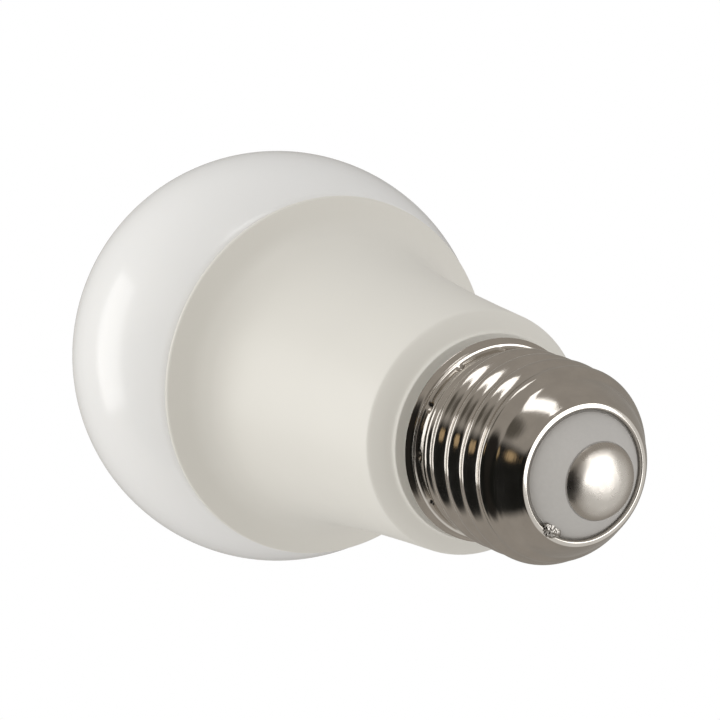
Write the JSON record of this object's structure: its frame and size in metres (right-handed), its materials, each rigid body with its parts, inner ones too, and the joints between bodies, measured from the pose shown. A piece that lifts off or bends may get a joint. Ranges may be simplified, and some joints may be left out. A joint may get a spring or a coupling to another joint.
{
  "type": "smart light bulb",
  "caption": "Colour changing smart bulb with an opal half-round diffuser, a tapered white housing, an E26 screw cap and a radio-controlled LED driver inside.",
  "frame": {"origin": "tip of the centre contact, on the bulb's axis", "axes": "+Z along the bulb's axis from the contact to the crown of the diffuser; -Y is the side of the screw shell where the crest nearest the contact starts"},
  "size_m": [0.06, 0.06, 0.1168],
  "materials": {
    "opal_polycarbonate": "milky diffusing polycarbonate, glossy moulded skin",
    "housing_thermoplastic": "warm white moulded thermoplastic, satin",
    "nickel_plated_brass": "bright nickel over rolled brass sheet",
    "grey_insulator": "light grey moulded thermoset, matte",
    "tin_solder": "wrinkled tin solder",
    "silicone_sealant": "white silicone",
    "cap_cement_resin": "cured capping cement",
    "white_polyester": "moulded insulating sleeve",
    "sheet_aluminium": "deep drawn aluminium",
    "thermal_silicone": "thermal pad",
    "white_solder_mask": "white mask on an aluminium board",
    "zinc_steel": "zinc plated screw",
    "warm_phosphor": "warm white LED package",
    "cool_phosphor": "cool white LED package",
    "colour_led_package": "white package with a clear well",
    "green_circuit_board": "glass epoxy board with green mask",
    "dark_ferrite": "sintered ferrite",
    "bobbin_phenolic": "moulded phenolic",
    "polyester_tape": "polyester tape over the winding",
    "capacitor_sleeve": "shrunk sleeve over an aluminium can",
    "tinned_wire": "tinned copper",
    "film_epoxy": "dipped film capacitor",
    "enamelled_copper": "enamelled copper winding",
    "varistor_epoxy": "dipped varistor",
    "chip_epoxy": "moulded semiconductor package",
    "chip_ceramic": "ceramic chip part",
    "fusible_resistor_coat": "flameproof resistor lacquer",
    "clear_shrink_tube": "glass fibre sleeve",
    "wire_insulation": "insulated wire",
    "connector_nylon": "moulded nylon header",
    "gold_pin": "gold flashed pins",
    "radio_circuit_board": "glass epoxy board",
    "tin_shield": "tin plated can",
    "antenna_copper": "gold flashed copper trace"
  },
  "bodies": {
    "root": {"diffuser": "opal_polycarbonate", "dome_sealant": "silicone_sealant", "housing": "housing_thermoplastic", "screw_shell": "nickel_plated_brass", "cap_insulator": "grey_insulator", "centre_contact": "nickel_plated_brass", "contact_solder": "tin_solder", "side_solder": "tin_solder", "cap_cement": "cap_cement_resin", "insulating_sleeve": "white_polyester", "heat_sink": "sheet_aluminium", "thermal_pad": "thermal_silicone", "led_board": "white_solder_mask", "led_board_screws": "zinc_steel", "warm_white_leds": "warm_phosphor", "cool_white_leds": "cool_phosphor", "colour_leds": "colour_led_package", "driver_board": "green_circuit_board", "transformer_core": "dark_ferrite", "transformer_bobbin": "bobbin_phenolic", "transformer_winding": "polyester_tape", "input_capacitor": "capacitor_sleeve", "output_capacitor": "capacitor_sleeve", "capacitor_leads": "tinned_wire", "film_capacitor": "film_epoxy", "line_inductor": "dark_ferrite", "inductor_winding": "enamelled_copper", "varistor": "varistor_epoxy", "bridge_rectifier": "chip_epoxy", "driver_chip": "chip_epoxy", "chip_diodes": "chip_epoxy", "chip_resistors": "chip_epoxy", "chip_capacitors": "chip_ceramic", "fusible_resistor": "fusible_resistor_coat", "resistor_sleeve": "clear_shrink_tube", "resistor_leads": "tinned_wire", "neutral_wire": "wire_insulation", "feed_pins": "gold_pin", "feed_header": "connector_nylon", "feed_socket": "connector_nylon", "radio_board": "radio_circuit_board", "radio_header": "connector_nylon", "radio_pins": "gold_pin", "radio_shield": "tin_shield", "antenna_trace": "antenna_copper"}
  },
  "joints": []
}
